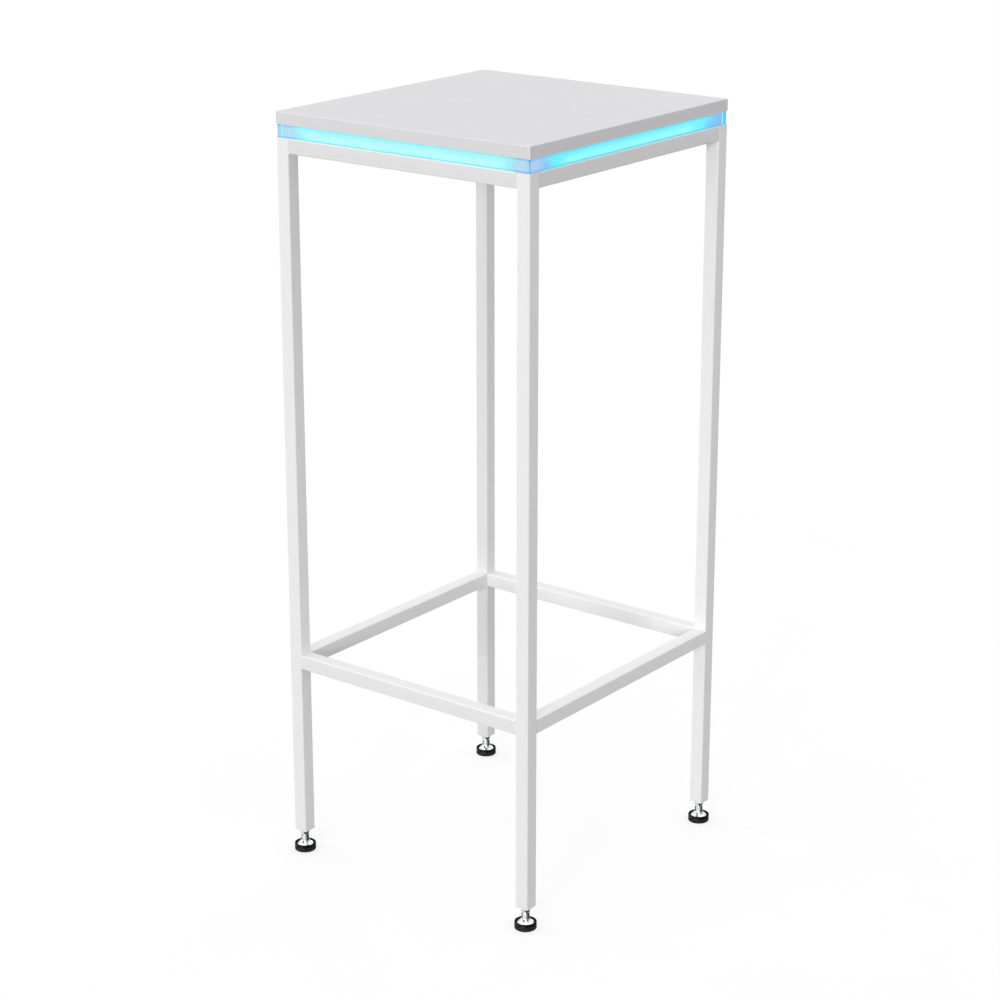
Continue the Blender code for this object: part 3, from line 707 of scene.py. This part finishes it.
def foot_mesh():
    """The turned foot with its screw thread, from the disc's base at height 0."""
    low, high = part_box("foot_stem_front_left")
    total = high.z - low.z
    profile = [(0, 0)]
    profile += broken_edge(DISC_RADIUS, 0, DISC_LOWER_EDGE)
    profile += broken_edge(DISC_RADIUS, DISC_HEIGHT, DISC_UPPER_EDGE)
    for step in range(FLARE_STEPS + 1):
        share = step / FLARE_STEPS
        radius = NECK_RADIUS + (FLARE_RADIUS - NECK_RADIUS) * (1 - share) ** FLARE_POWER
        profile.append((radius, DISC_HEIGHT + FLARE_LIFT + share * FLARE_HEIGHT))
    profile += broken_edge(NECK_RADIUS, NECK_TOP, NECK_UPPER_EDGE)
    rings = [circle(radius, height, FOOT_SIDES) for radius, height in profile]
    rows = int((total - NECK_TOP - THREAD_END) / PITCH * ROWS_PER_PITCH)
    for row in range(rows + 1):
        rings.append(thread_ring(NECK_TOP + THREAD_START + row * PITCH / ROWS_PER_PITCH))
    rings.append(circle(STEM_RADIUS - THREAD_DEPTH - STEM_TIP_CUT, total, FOOT_SIDES))
    rings.append(circle(0, total, FOOT_SIDES))
    return turned_mesh("threaded_foot", rings, chrome)


def pad_mesh():
    """The rubber cup with ribs round its side, from the floor at height 0."""
    profile = [(0, 0), *SOLE_GROOVE]
    profile += broken_edge(PAD_RADIUS, 0, PAD_LOWER_EDGE)
    rib_height = (RIBS_END - RIBS_START) / RIBS
    for rib in range(RIBS):
        base = RIBS_START + (RIBS_END - RIBS_START) * rib / RIBS
        for depth, share in RIB_SHAPE:
            profile.append((PAD_RADIUS - depth * RIB_GROOVE, base + share * rib_height))
    profile += broken_edge(PAD_RADIUS, PAD_TOP, PAD_UPPER_EDGE)
    profile += broken_edge(LIP_RADIUS, PAD_TOP, LIP_EDGE)
    profile += [(LIP_RADIUS, LIP_BOTTOM), (RECESS_RADIUS, LIP_BOTTOM)]
    profile += [(RECESS_RADIUS, RECESS_FLOOR), (0, RECESS_FLOOR)]
    rings = [circle(radius, height, PAD_SIDES) for radius, height in profile]
    return turned_mesh("ribbed_pad", rings, rubber)


def build_feet():
    """A turned foot and a rubber pad under each leg, in place of their plain solids."""
    kinds = (
        ("turned_foot", "foot_stem", foot_mesh(), "chrome", "stem"),
        ("rubber_pad", "foot_pad", pad_mesh(), "rubber", "pad"),
    )
    for corner in CORNERS:
        for name, kind, mesh, slot, body in kinds:
            low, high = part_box(f"{kind}_{corner}")
            piece = add_object(f"{name}_{corner}", mesh)
            piece.location = ((low.x + high.x) / 2, (low.y + high.y) / 2, low.z)
            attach(piece, f"{corner}_{body}")
            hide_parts(f"{kind}_{corner}")


# Welds


def join_rows(faces, start, rows, count):
    """Faces between rows of points, and one face over each end."""
    for row in range(rows):
        first, second = start + row * count, start + (row + 1) * count
        for k in range(count):
            after = (k + 1) % count
            faces.append((first + k, first + after, second + after, second + k))
    for first in (start, start + rows * count):
        faces.append(tuple(first + k for k in range(count)))


def weld_bead(verts, faces, corner, out, up, along):
    """A small rippled fillet from corner, between the directions out and up, drawn along its length."""
    start = len(verts)
    for row in range(BEAD_STEPS + 1):
        share = row / BEAD_STEPS
        taper = min(1.0, BEAD_TAPER * share, BEAD_TAPER * (1 - share)) ** 0.5
        ripple = 1 + RIPPLE_SHARE * math.sin(2 * math.pi * share * BEAD_LENGTH / RIPPLE_LENGTH)
        size = BEAD_SIZE * (BEAD_AT_END + BEAD_GROWTH * taper) * ripple
        base = corner + along * (share - 0.5) * BEAD_LENGTH
        points = [base - out * BEAD_ROOT - up * BEAD_ROOT]
        for k in range(BEAD_ARC + 1):
            angle = k / BEAD_ARC * math.pi / 2
            a = size * ((1 - BEAD_FULLNESS) * (1 - math.sin(angle)) + BEAD_FULLNESS * (1 - k / BEAD_ARC))
            b = size * ((1 - BEAD_FULLNESS) * (1 - math.cos(angle)) + BEAD_FULLNESS * k / BEAD_ARC)
            points.append(base + out * (a - BEAD_ROOT * (k == BEAD_ARC)) + up * (b - BEAD_ROOT * (k == 0)))
        verts.extend(tuple(point) for point in points)
    join_rows(faces, start, BEAD_STEPS, BEAD_ARC + 2)


def ground_weld(verts, faces, edge, along, out, up):
    """A weld ground flush, filling the groove between a rail's end and the leg's rounded edge."""
    start = len(verts)
    half = TUBE / 2 - GROUND_MARGIN
    for row in range(GROUND_ROWS + 1):
        level = (row / GROUND_ROWS * 2 - 1) * half
        ripple = GROUND_RIPPLE * math.sin(row * GROUND_RIPPLE_STEP)
        for step, sunk in GROUND_SECTION:
            verts.append(tuple(edge + along * step - out * (sunk + GROUND_SUNK + ripple) + up * level))
    join_rows(faces, start, GROUND_ROWS, len(GROUND_SECTION))


def build_welds():
    """Beads under the ends of all rails, and ground welds beside the ends of front and rear rails."""
    up = Vector((0, 0, 1))
    for level in ("top_rail", "foot_rail"):
        verts, faces = [], []
        for side in SIDES:
            low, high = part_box(f"{level}_{side}")
            middle = (low + high) / 2
            along_x = side in SIDES_ALONG_X
            run = Vector((1, 0, 0)) if along_x else Vector((0, 1, 0))
            across = Vector((0, 1, 0)) if along_x else Vector((1, 0, 0))
            out = across if middle.dot(across) > 0 else -across
            half = (high - low).dot(run) / 2
            for end in (-1, 1):
                tip = middle + run * end * half
                spot = tip + run * end * SEAT_GAP - up * TUBE / 2
                weld_bead(verts, faces, spot, -run * end, -up, across)
                if along_x:
                    ground_weld(verts, faces, tip + out * TUBE / 2, run * end, out, up)
        mesh = finished_mesh(f"weld_beads_{level}", verts, faces, coats["white"], WELD_SHARP_ANGLE)
        add_piece(f"weld_beads_{level}", mesh, "frame")


build_feet()
build_welds()

# Floor, light and camera

FLOOR_REACH = 14.0
FLOOR_DROP = 0.0004
FLOOR_GLOW = 0.7
WORLD_LIGHT = 0.54
WORLD_SEEN = 1.0

# Name, strength, apparent width in degrees and direction of each lamp
LAMPS = (
    ("overhead", 0.79, 120, (-0.1, -0.1, 1.0)),
    ("front", 1.11, 14, (0.304, -0.936, 0.174)),
    ("left", 1.1, 20, (-0.966, -0.259, 0.09)),
    ("rear", 0.5, 20, (-0.3, 0.95, 0.09)),
)

SENSOR_WIDTH = 36.0
LENS = 92.2
CAMERA_PLACE = (2.2247, -2.9094, 1.7661)
CAMERA_TURN = (1.2510, 0.0, 0.6547)


def seen_directly(tree):
    """1 for what the camera sees, also in a mirror or through glass, and 0 for light on the object."""
    path = tree.nodes.new("ShaderNodeLightPath")
    seen = path.outputs["Is Camera Ray"]
    for kind in ("Is Glossy Ray", "Is Transmission Ray"):
        larger = tree.nodes.new("ShaderNodeMath")
        larger.operation = "MAXIMUM"
        tree.links.new(seen, larger.inputs[0])
        tree.links.new(path.outputs[kind], larger.inputs[1])
        seen = larger.outputs[0]
    return seen


def build_floor():
    """A pale floor that looks white and keeps the table's shadow."""
    mesh = bpy.data.meshes.new("floor")
    ends = ((-1, -1), (1, -1), (1, 1), (-1, 1))
    mesh.from_pydata([(x * FLOOR_REACH, y * FLOOR_REACH, 0) for x, y in ends], [], [(0, 1, 2, 3)])
    floor = add_object("floor", mesh)
    floor.location.z = -FLOOR_DROP
    look = Look("studio_floor")
    look.set("Base Color", look.clouded(scale=3, first=rgb(156, 156, 157), second=rgb(159, 159, 160)))
    look.set("Roughness", 0.9)
    look.set("Specular IOR Level", 0.0)
    look.set("Emission Color", WHITE)
    look.set("Emission Strength", look.math("MULTIPLY", seen_directly(look.tree), FLOOR_GLOW))
    mesh.materials.append(look.material)


def build_world():
    """Even light from all round, before a white background."""
    world = bpy.data.worlds.new("studio")
    scene.world = world
    world.use_nodes = True
    tree = world.node_tree
    background = tree.nodes["Background"]
    background.inputs["Color"].default_value = WHITE
    level = tree.nodes.new("ShaderNodeMapRange")
    level.inputs["To Min"].default_value = WORLD_LIGHT
    level.inputs["To Max"].default_value = WORLD_SEEN
    tree.links.new(seen_directly(tree), level.inputs["Value"])
    tree.links.new(level.outputs[0], background.inputs["Strength"])


def build_lamps():
    """Soft lamps from far away."""
    for name, energy, width, towards in LAMPS:
        data = bpy.data.lights.new(name, "SUN")
        data.energy = energy
        data.angle = math.radians(width)
        lamp = add_object(name, data)
        lamp.rotation_euler = Vector(towards).to_track_quat("Z", "Y").to_euler()


def build_camera():
    """The camera at the photograph's viewing angle."""
    data = bpy.data.cameras.new("camera")
    data.sensor_width = SENSOR_WIDTH
    data.lens = LENS
    camera = add_object("camera", data)
    camera.location = CAMERA_PLACE
    camera.rotation_euler = CAMERA_TURN
    scene.camera = camera


build_floor()
build_world()
build_lamps()
build_camera()
